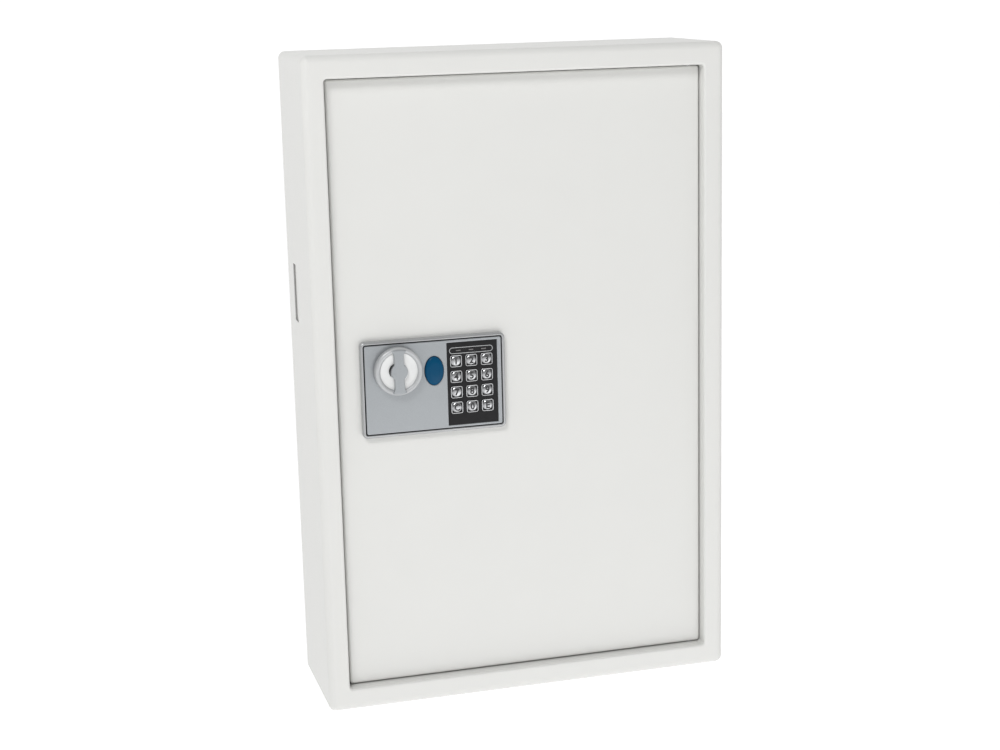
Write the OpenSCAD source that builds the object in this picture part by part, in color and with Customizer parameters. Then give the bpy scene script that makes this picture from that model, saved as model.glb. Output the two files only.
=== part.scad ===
// Wall-mounted steel key cabinet: recessed door on concealed pins, electronic lock with a turn
// knob and an override cylinder, a key return slot in the left side, and ten rails of key hooks.
// Frame: +Z up, the front faces -Y, and the origin is the centre of the back face, on the wall.

/* [Cabinet] */
// Overall width of the cabinet
cabinet_w = 358; // [350:1:380]
// Overall height of the cabinet
cabinet_h = 550; // [545:1:560]
// Depth from the wall to the front rim
cabinet_d = 108; // [106:1:120]
// Thickness of the body's steel sheet
sheet = 1.2; // [1:0.1:1.5]
// Radius of the body's outer edges and corners
edge_r = 6; // [4:0.5:8]
// Width of the front rim at the sides
rim_side = 18; // [16:0.5:20]
// Width of the front rim at the top and the bottom
rim_end = 19; // [17:0.5:22]
// How far the rim's return runs back from the front
return_depth = 17; // [16:0.5:17]

/* [Door] */
// How far the door's face lies behind the rim
door_recess = 10; // [9:0.5:10]
// Open line between the door and the rim on the lock side
door_gap = 2.3; // [2.1:0.1:2.5]
// Thickness of the door's steel sheet
door_sheet = 1.5; // [1.2:0.1:1.5]
// Depth of the door's folded flanges
door_depth = 20; // [19:0.5:20]
// Radius of the hinge pins
pin_r = 2.5; // [2:0.1:2.5]

/* [Lock] */
// Width of the lock's outer frame
panel_w = 123.5; // [123:0.5:126]
// Height of the lock's outer frame
panel_h = 81.5; // [81:0.5:84]
// How far the lock's frame stands off the door
panel_t = 5.2; // [5.2:0.1:5.6]
// Radius of the turn knob
knob_r = 20.2; // [19:0.1:21]
// Radius of the two bolts
bolt_r = 5; // [4:0.5:5]
// Throw of the bolts over a quarter turn of the knob
bolt_throw = 14; // [14:0.1:14.4]
// Distance between neighbouring keys of the keypad
key_pitch = 13.25; // [13:0.05:13.3]
// How far a key goes in
key_travel = 1; // [0.5:0.1:1]

/* [Hooks] */
// Number of hooks on one rail
hooks_per_rail = 10; // [6:2:10]
// Distance between neighbouring hooks
hook_pitch = 31; // [29:1:31]
// Distance between neighbouring rails
rail_pitch = 48; // [46:1:48]

/* [Hidden] */
$fn = 48;
RAIL_COUNT = 10;
RAILS = [for (i = [1:RAIL_COUNT]) str("hook_rail_", i)];
KEYS = ["key_1", "key_2", "key_3", "key_4", "key_5", "key_6",
        "key_7", "key_8", "key_9", "key_clear", "key_0", "key_enter"];

white_paint = [0.9, 0.9, 0.89];
silver = [0.69, 0.70, 0.72];
zinc = [0.72, 0.73, 0.75];
black = [0.13, 0.13, 0.14];

// The door opening, and the door inside it
hinge_gap = 0.7;                     // open line on the hinge side
end_gap = 1;                         // and at the top and bottom
open_w = cabinet_w - 2 * rim_side;
open_h = cabinet_h - 2 * rim_end;
door_x0 = -open_w / 2 + door_gap;
door_x1 = open_w / 2 - hinge_gap;
door_w = door_x1 - door_x0;
door_h = open_h - 2 * end_gap;
door_cx = (door_x0 + door_x1) / 2;
door_y = -cabinet_d + door_recess;   // plane of the door's face
corner_r = 2.5;                      // corners of the opening
door_edge_r = 2;                     // bend round the door's face

// The hinge axis stands this far from the door's right edge and behind its face
hinge_inset_x = 8.8;
hinge_inset_y = 4.2;
hinge_x = door_x1 - hinge_inset_x;
hinge_y = door_y + hinge_inset_y;
pin_clearance = 0.05;
bracket_t = 5;
pin_length = 25;
hinge_block_h = 14;

// Lock layout on the door, as [x, z]
panel_c = [-78.2, 0.6];
knob_c = [-109, 16];
override_c = [-77.9, 13.2];
keypad_c = [-45, 0.5];
keypad_size = [43, 70.2];
key_c = [-45.75, -0.05];             // centre of the 3 by 4 keys
key_size = 10.2;
key_flange = 11.8;
cap_size = [15.8, 24.2];
led_z = 28.7;
led_pitch = 11;
cable_z = -22;
groove = 1.0;                        // open line round the fascia
bezel_edge = 2.4;
base_t = 3.4;                        // solid part of the bezel
mat_floor = 0.6;
key_back = mat_floor + 0.5 + key_travel + 0.4;
lock_screw_at = [[-134, 35], [-134, -34], [-22, 35], [-22, -34]];

// Lock mechanism: u counts outwards from the door's face, so inside the door it is negative
bolt_u = -13;
bolt_z = [knob_c[1] + 18, knob_c[1] - 18];
bolt_tip_x = door_x0 + 0.5;
bar_left = -129;
bar_right = -86.8;
bar_t = 2;
cam_u = -9.5;                        // rear face of the drive cam
cam_t = 2.5;
cam_r = 13;
crank_r = bolt_throw / sqrt(2);      // a quarter turn centred on the upright moves the pin by the throw
crank_pin_r = 2;
yoke_play = 0.6;
bolt_end_x = -121;
spindle_w = 6;
shaft_r = 6;
plunger_c = [-98, -1];
plunger_r = 2.5;
housing_x = [-146, -14];
housing_z = [-42, 43];
housing_u = -38;                     // rear face of the inner housing
housing_wall = 2;
board_u = -5.6;                      // rear face of the circuit board
stud_at = [[-80, 49], [-80, -48]];
stud_r = 2;
battery_r = 7.1;
battery_z = [-24, 25.5];
battery_x = [for (i = [0:3]) -73 + 15 * i];
battery_u = -27.5;
bay_x = [-82, -19];
bay_z = [-29, 27.5];

// Key return slot in the left side, as ranges of y and z
slot_y = [-41.5, -26.7];
slot_z = [50.5, 99.3];
flap_gap = 0.3;
flap_lap = 2;                        // how far the flap reaches past the slot's edges
flap_roll_r = 2.4;
flap_pin_r = 1.2;
flap_axis = [-cabinet_w / 2 + sheet + flap_gap + sheet + 1.4, slot_y[0] - 4.5];

// Hook rails
rail_w = 320;
rail_h = 16;
rail_y = -7.5;                       // rear face of the rails
upright_x = 150;
upright_h = 500;
wall_hole_r = 4;
wall_hole_x = 4 * hook_pitch;
wall_hole_z = 4 * rail_pitch;
strip_w = 288;

// Door stops behind the left rim
stop_z = 200;
clip_t = 1.5;
clip_h = 24;
bumper_t = 2;
bumper_gap = 0.3;
stop_y = door_y + door_depth + bumper_gap + bumper_t;

function rail_z(i) = (RAIL_COUNT - 1) / 2 * rail_pitch - i * rail_pitch;
function key_x(i) = key_c[0] + (i % 3 - 1) * key_pitch;
function key_z(i) = key_c[1] + (1.5 - floor(i / 3)) * key_pitch;

// Points of a rectangle with round corners
function round_rect(w, h, r, n = 6) =
    [for (c = [0:3], i = [0:n])
        let (a = 90 * c + 90 * i / n,
             sx = (c == 0 || c == 3) ? 1 : -1,
             sz = c < 2 ? 1 : -1)
        [sx * (w / 2 - r) + r * cos(a), sz * (h / 2 - r) + r * sin(a)]];

// Points of an oval
function oval(w, h, n = 48) = [for (i = [0:n - 1]) [w / 2 * cos(360 * i / n), h / 2 * sin(360 * i / n)]];

// Draws a flat outline in x and z at the distance u outside the door's face, and carries it outwards by h
module on_door(u, h) {
    translate([0, door_y - u, 0]) rotate([90, 0, 0]) linear_extrude(h) children();
}

// A slab whose front edges and corners are round, from y0 at the front to y1 at the back
module soft_slab(w, h, r, y0, y1, steps = 6) {
    slice = 0.01;
    hull() {
        for (i = [0:steps]) {
            a = 90 * i / steps;
            inset = r * (1 - sin(a));
            depth = i == steps ? y1 - y0 - r : slice;
            translate([0, y0 + r * (1 - cos(a)) + depth, 0]) rotate([90, 0, 0])
                linear_extrude(depth) polygon(round_rect(w - 2 * inset, h - 2 * inset, max(r - inset, 0.02)));
        }
    }
}

module at(p) { translate([p[0], p[1]]) children(); }

module box(x, y, z) { translate([x[0], y[0], z[0]]) cube([x[1] - x[0], y[1] - y[0], z[1] - z[0]]); }

// ---- Cabinet ----

// Wrapped body with the rim, its return round the opening, and the key return slot
module cabinet_shell() {
    color(white_paint) {
        difference() {
            soft_slab(cabinet_w, cabinet_h, edge_r, -cabinet_d, 0);
            soft_slab(cabinet_w - 2 * sheet, cabinet_h - 2 * sheet, edge_r - sheet, -cabinet_d + sheet, 1);
            translate([0, 1 - cabinet_d + sheet, 0]) rotate([90, 0, 0]) linear_extrude(sheet + 2)
                polygon(round_rect(open_w, open_h, corner_r));
            box([-cabinet_w, -cabinet_w / 2 + 3], slot_y, slot_z);
        }
        difference() {
            translate([0, -cabinet_d + return_depth, 0]) rotate([90, 0, 0])
                linear_extrude(return_depth - sheet) difference() {
                    polygon(round_rect(open_w + 2 * sheet, open_h + 2 * sheet, corner_r + sheet));
                    polygon(round_rect(open_w, open_h, corner_r));
                }
            translate([hinge_x, hinge_y, -cabinet_h / 2]) cylinder(r = pin_r + 0.7, h = cabinet_h);
        }
    }
}

// Flap just behind the slot, with a rolled edge round the bracket's pin
module return_flap() {
    x = -cabinet_w / 2 + sheet + flap_gap;
    color(white_paint) difference() {
        union() {
            box([x, x + sheet], [flap_axis[1], slot_y[1] + flap_lap], slot_z + flap_lap * [-1, 1]);
            translate([flap_axis[0], flap_axis[1], slot_z[0] - flap_lap])
                cylinder(r = flap_roll_r, h = slot_z[1] - slot_z[0] + 2 * flap_lap);
        }
        translate([flap_axis[0], flap_axis[1], slot_z[0] - flap_lap - 1])
            cylinder(r = flap_pin_r + pin_clearance, h = slot_z[1] - slot_z[0] + 2 * flap_lap + 2);
    }
}

// Bracket welded inside the wall, whose two ears carry the flap's pin
module flap_bracket() {
    x = -cabinet_w / 2 + sheet;
    z = slot_z + (flap_lap + 0.5) * [-1, 1];
    foot = [flap_axis[1] - 14, flap_axis[1] - 4];
    color(zinc) {
        box([x, x + sheet], foot, z + sheet * [-1, 1]);
        for (ear = [z[0] - sheet, z[1]]) box([x, flap_axis[0] + 3], [foot[0], flap_axis[1] + 3], [ear, ear + sheet]);
        translate([flap_axis[0], flap_axis[1], z[0] - sheet]) cylinder(r = flap_pin_r, h = z[1] - z[0] + 2 * sheet);
    }
}

module back_panel() {
    fit = 0.1;
    color(white_paint) difference() {
        translate([0, 0, 0]) rotate([90, 0, 0]) linear_extrude(sheet)
            polygon(round_rect(cabinet_w - 2 * sheet - fit, cabinet_h - 2 * sheet - fit, edge_r - sheet));
        for (x = [-1, 1], z = [-1, 1])
            translate([x * wall_hole_x, 1, z * wall_hole_z]) rotate([90, 0, 0])
                cylinder(r = wall_hole_r, h = sheet + 2);
    }
}

// Plates welded behind the rim's return, one above and one below, that take the hinge pins
module hinge_brackets() {
    z0 = open_h / 2 + sheet;
    color(zinc) for (side = [0, 1]) mirror([0, 0, side])
        difference() {
            box([hinge_x - 12, hinge_x + 11], [-cabinet_d + sheet + 1, hinge_y + 8], [z0, z0 + bracket_t]);
            translate([hinge_x, hinge_y, z0 - 1]) cylinder(r = pin_r + pin_clearance, h = bracket_t + 2);
        }
}

// Clips welded behind the left rim that stop the door
module door_stop_clips() {
    x0 = -open_w / 2 - sheet;
    x1 = door_x0 + 9;
    color(zinc) for (z = [-stop_z, stop_z])
        translate([0, 0, z - clip_h / 2]) linear_extrude(clip_h)
            polygon([[x0 - clip_t, -cabinet_d + sheet + 2], [x0, -cabinet_d + sheet + 2], [x0, stop_y],
                     [x1, stop_y], [x1, stop_y + clip_t], [x0 - clip_t, stop_y + clip_t]]);
}

// A rubber bumper on each clip
module door_bumpers() {
    color(black) for (z = [-stop_z, stop_z])
        translate([door_x0 + 4.5, stop_y, z]) rotate([90, 0, 0]) cylinder(r = 4, h = bumper_t);
}

// Hat-section uprights with slots, welded to the back panel
module rail_uprights() {
    foot = 13;
    half = 6;
    slot_count = 2 * RAIL_COUNT;
    color(zinc) for (x = [-upright_x, upright_x]) translate([x, 0, 0]) difference() {
        translate([0, 0, -upright_h / 2]) linear_extrude(upright_h)
            polygon([[-foot, -sheet], [-foot, -2 * sheet], [-half, -2 * sheet], [-half, rail_y],
                     [half, rail_y], [half, -2 * sheet], [foot, -2 * sheet], [foot, -sheet],
                     [half - sheet, -sheet], [half - sheet, rail_y + sheet],
                     [-half + sheet, rail_y + sheet], [-half + sheet, -sheet]]);
        for (i = [0:slot_count - 1])
            translate([-1.5, rail_y - 1, rail_z(0) + (0.5 - i) * rail_pitch / 2 - 4])
                cube([3, sheet + 2, 8]);
        for (i = [0:RAIL_COUNT - 1])
            translate([0, rail_y + sheet + 1, rail_z(i)]) rotate([90, 0, 0]) cylinder(r = 1.95, h = sheet + 2);
    }
}

// One steel strip with its staked tab hooks
module hook_rail(i) {
    tab_w = 5;
    color(white_paint) translate([0, 0, rail_z(i)]) {
        difference() {
            box([-rail_w / 2, rail_w / 2], [rail_y - sheet, rail_y], [-rail_h / 2, rail_h / 2]);
            for (x = [-upright_x, upright_x])
                translate([x, rail_y + 1, 0]) rotate([90, 0, 0]) cylinder(r = 2.1, h = sheet + 2);
        }
        for (k = [0:hooks_per_rail - 1])
            translate([(k - (hooks_per_rail - 1) / 2) * hook_pitch - tab_w / 2, rail_y - sheet, 0])
                rotate([90, 0, 90]) linear_extrude(tab_w)
                    polygon([[0, -5.5], [0, -3.6], [-14.5, 4.6], [-15.6, 4.2], [-15.4, 3]]);
    }
}

module number_strips() {
    color("white") for (i = [0:RAIL_COUNT - 1])
        translate([-strip_w / 2, rail_y - sheet - 0.4, rail_z(i) + 1]) cube([strip_w, 0.4, 6.4]);
}

module rail_screws() {
    color(zinc) for (i = [0:RAIL_COUNT - 1], x = [-upright_x, upright_x])
        translate([x, rail_y - sheet, rail_z(i)]) rotate([90, 0, 0]) {
            cylinder(r = 3.2, h = 2.2);
            translate([0, 0, -5]) cylinder(r = 1.9, h = 5);
        }
}

// ---- Door ----

module door_pan() {
    inner_w = door_w - 2 * door_sheet;
    inner_h = door_h - 2 * door_sheet;
    color(white_paint) {
        difference() {
            translate([door_cx, 0, 0]) soft_slab(door_w, door_h, door_edge_r, door_y, door_y + door_depth);
            on_door(-door_depth - 1, door_depth + 1 - door_sheet) at([door_cx, 0])
                polygon(round_rect(inner_w, inner_h, corner_r - door_sheet));
            on_door(-5, 10) at(knob_c) circle(r = shaft_r + 0.6);
            on_door(-5, 10) at(override_c) circle(r = 5.8);
            on_door(-5, 10) at([keypad_c[0], cable_z]) circle(r = 5.5);
            for (p = lock_screw_at) on_door(-5, 10) at(p) circle(r = 2.3);
            for (z = bolt_z)
                translate([door_x0 - 1, door_y - bolt_u, z]) rotate([0, 90, 0])
                    cylinder(r = bolt_r + 0.4, h = door_sheet + 2);
            translate([hinge_x, hinge_y, -door_h / 2 - 1]) cylinder(r = pin_r, h = door_h + 2);
        }
        for (p = stud_at) on_door(-9, 9 - door_sheet) at(p) circle(r = stud_r);
    }
}

// Hat-section stiffener welded to the back of the door's face
module door_stiffener() {
    half = 14;
    foot = 26;
    deep = 14;
    t = door_sheet;
    y0 = door_y + t;
    color(white_paint) translate([86, y0, -door_h / 2 + 14]) linear_extrude(door_h - 28)
        polygon([[-foot, 0], [-half + t, 0], [-half + t, deep - t], [half - t, deep - t], [half - t, 0],
                 [foot, 0], [foot, t], [half, t], [half, deep], [-half, deep], [-half, t], [-foot, t]]);
}

// Blocks in the door's right-hand corners that hold the pins
module hinge_blocks() {
    z1 = door_h / 2 - door_sheet;
    color(zinc) for (side = [0, 1]) mirror([0, 0, side])
        difference() {
            on_door(-hinge_inset_y - 6, hinge_inset_y + 6 - door_sheet) intersection() {
                translate([hinge_x - 8, z1 - hinge_block_h]) square([20, hinge_block_h]);
                at([door_cx, 0])
                    polygon(round_rect(door_w - 2 * door_sheet, door_h - 2 * door_sheet, corner_r - door_sheet));
            }
            translate([hinge_x, hinge_y, z1 - hinge_block_h - 1]) cylinder(r = pin_r, h = hinge_block_h + 2);
        }
}

module hinge_pins() {
    z1 = open_h / 2 + sheet + bracket_t;
    color(zinc) for (side = [0, 1]) mirror([0, 0, side])
        translate([hinge_x, hinge_y, z1 - pin_length]) cylinder(r = pin_r, h = pin_length);
}

// ---- Lock front ----

module lock_bezel() {
    color(silver) difference() {
        translate([panel_c[0], 0, panel_c[1]])
            soft_slab(panel_w, panel_h, 2.2, door_y - panel_t, door_y, 4);
        on_door(base_t, panel_t) at(panel_c)
            polygon(round_rect(panel_w - 2 * bezel_edge, panel_h - 2 * bezel_edge, 1.6));
        on_door(mat_floor, panel_t) keypad_cavity();
        on_door(-1, panel_t + 2) at(knob_c) circle(r = shaft_r + 0.05);
        on_door(-1, panel_t + 2) at(override_c) circle(r = 5.6);
        on_door(-1, panel_t) at([keypad_c[0], cable_z]) circle(r = 5);
        for (p = lock_screw_at) on_door(-1, 4) at(p) circle(r = stud_r);
    }
}

module keypad_cavity() { translate([key_c[0] - 20, -28]) square([40, 60.5]); }

module lock_fascia() {
    w = panel_w - 2 * bezel_edge - 2 * groove;
    h = panel_h - 2 * bezel_edge - 2 * groove;
    color(silver) on_door(base_t, panel_t - base_t) difference() {
        at(panel_c) polygon(round_rect(w, h, 1.2));
        at(keypad_c) square(keypad_size + [0.4, 0.4], center = true);
        at(knob_c) circle(r = shaft_r + 0.4);
        at(override_c) polygon(oval(cap_size[0] + 0.6, cap_size[1] + 0.6));
    }
}

module keypad_plate() {
    color(black) on_door(base_t, 1.5) difference() {
        at(keypad_c) square(keypad_size, center = true);
        for (i = [0:len(KEYS) - 1]) at([key_x(i), key_z(i)]) square(key_size + 0.6, center = true);
        led_windows();
    }
}

module led_windows() {
    for (i = [-1:1]) at([key_c[0] + i * led_pitch, led_z]) square([5, 1.8], center = true);
}

module led_lenses() { color("darkred") on_door(mat_floor + 0.9, base_t + 0.5 - mat_floor) led_windows(); }

module key_button(i) {
    color(zinc) {
        on_door(key_back, 0.6) at([key_x(i), key_z(i)]) square(key_flange, center = true);
        on_door(key_back, 4.7 - key_back) at([key_x(i), key_z(i)])
            polygon(round_rect(key_size, key_size, 1.6));
        on_door(4.7, 0.9) at([key_x(i), key_z(i)]) circle(r = 4.6);
    }
}

module keypad_mat() {
    color(black) on_door(mat_floor, 0.5) difference() {
        translate([key_c[0] - 19.8, -27.8]) square([39.6, 60]);
        at([keypad_c[0], cable_z]) square([8.4, 1], center = true);
    }
}

module ribbon_cable() {
    color("gray") on_door(-4, mat_floor + 4.7) at([keypad_c[0], cable_z]) square([8, 0.6], center = true);
}

module knob() {
    seat = 0.3;
    u0 = panel_t + seat;
    bar_w = 8.2;
    dish_r = 16;
    color(silver) {
        difference() {
            union() {
                on_door(u0, 2) at(knob_c) circle(r = knob_r);
                on_door(u0 + 2, 4.6) at(knob_c) difference() {
                    circle(r = knob_r);
                    circle(r = dish_r);
                }
                on_door(u0 + 2, 5.6) at(knob_c) intersection() {
                    circle(r = knob_r - 1.2);
                    union() {
                        square([bar_w, 2 * knob_r], center = true);
                        circle(r = 7.4);
                    }
                }
                on_door(-2, u0 + 2) at(knob_c) circle(r = shaft_r);
            }
            on_door(-3, 6) at(knob_c) square(spindle_w, center = true);
        }
    }
}

module override_cap() {
    wall = 1.2;
    seat = base_t + 0.3;
    crown = panel_t + 2.6;
    color("steelblue") difference() {
        translate([override_c[0], 0, override_c[1]]) hull() {
            translate([0, door_y - seat, 0]) rotate([90, 0, 0])
                linear_extrude(panel_t + 0.6 - seat) polygon(oval(cap_size[0], cap_size[1]));
            for (s = [[0.9, 1.7], [0.66, 2.3], [0.3, 2.6]])
                translate([0, door_y - panel_t, 0]) rotate([90, 0, 0])
                    linear_extrude(s[1]) polygon(oval(cap_size[0] * s[0], cap_size[1] * s[0]));
        }
        on_door(seat - 1, crown - 1.6 - seat + 1) at(override_c)
            polygon(oval(cap_size[0] - 2 * wall, cap_size[1] - 2 * wall));
    }
}

module override_barrel() {
    color(zinc) on_door(-14.3, 18.5) at(override_c) difference() {
        circle(r = 5.5);
        circle(r = 4.05);
    }
}

module override_nut() {
    color(zinc) on_door(-5.5, 4) at(override_c) difference() {
        circle(r = 9, $fn = 6);
        circle(r = 5.55);
    }
}

module override_plug() {
    color([0.75, 0.65, 0.4]) difference() {
        union() {
            on_door(-14.3, 18.2) at(override_c) circle(r = 4);
            on_door(-16.1, 2) at(override_c) circle(r = 2.5);
        }
        on_door(-9, 14) at(override_c) square([1.2, 5.6], center = true);
    }
}

// Lever on the plug's rear end, which swings over to the solenoid
module override_cam() {
    color(zinc) on_door(-16.1, 1.5) at(override_c) difference() {
        union() {
            circle(r = 5.5);
            translate([-3, -17]) square([6, 17]);
        }
        circle(r = 2.5);
    }
}

// ---- Lock mechanism ----

// Four screws through the door into the bezel, and the two nuts that hold the housing
module lock_fasteners() {
    color(zinc) {
        for (p = lock_screw_at) {
            on_door(-door_sheet - 2, 2) at(p) circle(r = 3.5);
            on_door(-door_sheet, door_sheet + 3) at(p) circle(r = stud_r);
        }
        for (p = stud_at) on_door(-door_sheet - 5.2, 3.2) at(p) difference() {
            circle(r = 4, $fn = 6);
            circle(r = stud_r + 0.05);
        }
    }
}

// Square spindle riveted to the cam disc, whose crank pin drives the bolt bar
module drive_cam() {
    color(zinc) difference() {
        union() {
            on_door(cam_u, 3 - cam_u) at(knob_c) square(spindle_w, center = true);
            on_door(cam_u, cam_t) at(knob_c) circle(r = cam_r);
            on_door(cam_u - 6.5, 7) at(knob_c + crank_r * [sin(45), cos(45)]) circle(r = crank_pin_r);
        }
        on_door(cam_u - 1, 14) at(knob_c) circle(r = 1.5);
    }
}

// Screw from behind that draws the knob onto the spindle
module knob_screw() {
    color(zinc) {
        on_door(cam_u - 2, 2) at(knob_c) circle(r = 3.8);
        on_door(cam_u, 3 - cam_u) at(knob_c) circle(r = 1.5);
    }
}

module bolt_bar() {
    pin_x = knob_c[0] + bolt_throw / 2;
    slot_w = 2 * (crank_pin_r + yoke_play);
    slot_low = bolt_throw / 2 - crank_pin_r - 0.5;
    slot_high = crank_r + crank_pin_r + 0.7;
    color(zinc) on_door(bolt_u - bar_t / 2, bar_t) difference() {
        union() {
            translate([bar_left, knob_c[1] - 23]) square([bar_right - bar_left, 46]);
            translate([bar_right - 1, knob_c[1] - 23]) square([8.8, 12]);
        }
        translate([pin_x - slot_w / 2, knob_c[1] + slot_low]) square([slot_w, slot_high - slot_low]);
        at(plunger_c) circle(r = plunger_r + 0.5);
        at(plunger_c + [bolt_throw, 0]) circle(r = plunger_r + 0.5);
    }
}

// Two round bolts, each slotted at its inner end for the bar
module bolts() {
    color(zinc) for (z = bolt_z) difference() {
        translate([bolt_tip_x, door_y - bolt_u, z]) rotate([0, 90, 0])
            cylinder(r = bolt_r, h = bolt_end_x - bolt_tip_x);
        on_door(bolt_u - bar_t / 2, bar_t) translate([bar_left, z - bolt_r - 1])
            square([bolt_end_x - bar_left + 1, 2 * bolt_r + 2]);
    }
}

module solenoid() {
    color([0.25, 0.25, 0.27]) on_door(housing_u + housing_wall, 19.5) at(plunger_c) difference() {
        square(16, center = true);
        circle(r = plunger_r + 0.1);
    }
}

module solenoid_plunger() {
    color(zinc) on_door(-34, 19.5) at(plunger_c) circle(r = plunger_r);
}

module circuit_board() {
    color("darkgreen") on_door(board_u, 1.6) translate([-66, -36]) square([44, 72]);
}

// Box over the mechanism; the ribs at both ends of its battery bay carry the circuit board
module lock_housing() {
    x = housing_x;
    z = housing_z;
    w = housing_wall;
    front = -door_sheet;
    color(black) difference() {
        union() {
            on_door(housing_u, front - housing_u) translate([x[0], z[0]]) square([x[1] - x[0], z[1] - z[0]]);
            for (p = stud_at) on_door(front - 2, 2) at(p) square([16, 12.4], center = true);
        }
        difference() {
            on_door(housing_u + w, front - housing_u)
                translate([x[0] + w, z[0] + w]) square([x[1] - x[0] - 2 * w, z[1] - z[0] - 2 * w]);
            for (s = [bay_z[0], bay_z[1] - 1.5])
                on_door(housing_u + 1, board_u - housing_u - 1)
                    translate([bay_x[0], s]) square([bay_x[1] - bay_x[0], 1.5]);
        }
        on_door(housing_u - 1, w + 2)
            translate([bay_x[0], bay_z[0] + 1.5]) square([bay_x[1] - bay_x[0], bay_z[1] - bay_z[0] - 3]);
        for (b = bolt_z)
            translate([x[0] - 1, door_y - bolt_u, b]) rotate([0, 90, 0]) cylinder(r = bolt_r + 0.08, h = w + 2);
        for (p = stud_at) on_door(front - 3, 4) at(p) circle(r = stud_r + 0.2);
    }
}

// Cover over the battery bay, which slides off towards the hinge side
module battery_cover() {
    lap = 2;
    color(black) on_door(housing_u - 2.3, 2)
        translate([bay_x[0] - lap, bay_z[0] - lap])
            square([bay_x[1] - bay_x[0] + 2 * lap, bay_z[1] - bay_z[0] + 2 * lap]);
}

module batteries() {
    nub = 1.2;
    color([0.75, 0.55, 0.25]) for (x = battery_x) translate([x, door_y - battery_u, battery_z[0]]) {
        cylinder(r = battery_r, h = battery_z[1] - battery_z[0] - nub);
        cylinder(r = 2.7, h = battery_z[1] - battery_z[0]);
    }
}

// A flat plate above each battery and a conical spring under it
module battery_contacts() {
    color(zinc) for (x = battery_x) translate([x, door_y - battery_u, 0]) {
        translate([-5, -4, battery_z[1]]) cube([10, 8, 0.5]);
        translate([0, 0, bay_z[0] + 1.5]) cylinder(r1 = 5.5, r2 = 3.5, h = battery_z[0] - bay_z[0] - 1.5);
    }
}

// ---- Nodes ----

cabinet_shell();
back_panel();
flap_bracket();
hinge_brackets();
door_stop_clips();
door_bumpers();
rail_uprights();
number_strips();
rail_screws();
door_pan();
door_stiffener();
hinge_blocks();
hinge_pins();
lock_bezel();
lock_fascia();
keypad_plate();
led_lenses();
keypad_mat();
ribbon_cable();
circuit_board();
lock_housing();
lock_fasteners();
batteries();
battery_contacts();
override_barrel();
override_nut();
solenoid();
knob();
drive_cam();
knob_screw();
bolt_bar();
bolts();
battery_cover();
override_cap();
override_plug();
override_cam();
solenoid_plunger();
return_flap();
for (i = [0:len(RAILS) - 1]) hook_rail(i);
for (i = [0:len(KEYS) - 1]) key_button(i);
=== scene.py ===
"""Looks of a wall-mounted steel key cabinet with an electronic lock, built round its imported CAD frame.

Sizes inside the functions are millimetres and meshes are metres. The front faces -Y and +Z is up.
"""
import math

import bmesh
import bpy
from mathutils import Matrix, Vector


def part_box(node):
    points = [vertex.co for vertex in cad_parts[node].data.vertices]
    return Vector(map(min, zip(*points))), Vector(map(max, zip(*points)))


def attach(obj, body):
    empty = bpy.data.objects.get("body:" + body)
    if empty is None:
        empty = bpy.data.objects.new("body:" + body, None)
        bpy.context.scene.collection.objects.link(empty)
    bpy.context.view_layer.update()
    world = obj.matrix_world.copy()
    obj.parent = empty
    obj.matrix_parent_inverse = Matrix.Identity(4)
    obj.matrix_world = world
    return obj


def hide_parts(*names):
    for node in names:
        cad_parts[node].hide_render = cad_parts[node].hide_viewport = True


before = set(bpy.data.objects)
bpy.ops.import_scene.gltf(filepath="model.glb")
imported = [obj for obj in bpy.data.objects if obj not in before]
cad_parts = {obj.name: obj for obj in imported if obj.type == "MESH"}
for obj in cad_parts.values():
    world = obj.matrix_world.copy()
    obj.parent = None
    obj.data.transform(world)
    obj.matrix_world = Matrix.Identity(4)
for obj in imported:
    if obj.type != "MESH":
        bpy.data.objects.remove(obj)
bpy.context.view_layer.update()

MM = 0.001
SHARP_ANGLE = 38

# ---- Camera, lens and room ----

LENS = 66.41
SENSOR = 36.0
CAMERA_AT = Vector((-429.4, -1560.9, 337.1)) * MM
CAMERA_YAW = -15.643
CAMERA_PITCH = -12.379
CAMERA_ROLL = 1.389
FLOOR_Z = -1.05
FLOOR_SIDE = 30.0


def make_camera():
    camera = bpy.data.objects.new("camera", bpy.data.cameras.new("camera"))
    camera.data.lens = LENS
    camera.data.sensor_width = SENSOR
    turn = (
        Matrix.Rotation(math.radians(CAMERA_YAW), 4, "Z")
        @ Matrix.Rotation(math.radians(CAMERA_PITCH), 4, "X")
        @ Matrix.Rotation(math.radians(CAMERA_ROLL), 4, "Y")
        @ Matrix.Rotation(math.radians(90), 4, "X")
    )
    camera.matrix_world = Matrix.Translation(CAMERA_AT) @ turn
    bpy.context.scene.collection.objects.link(camera)
    bpy.context.scene.camera = camera


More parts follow.
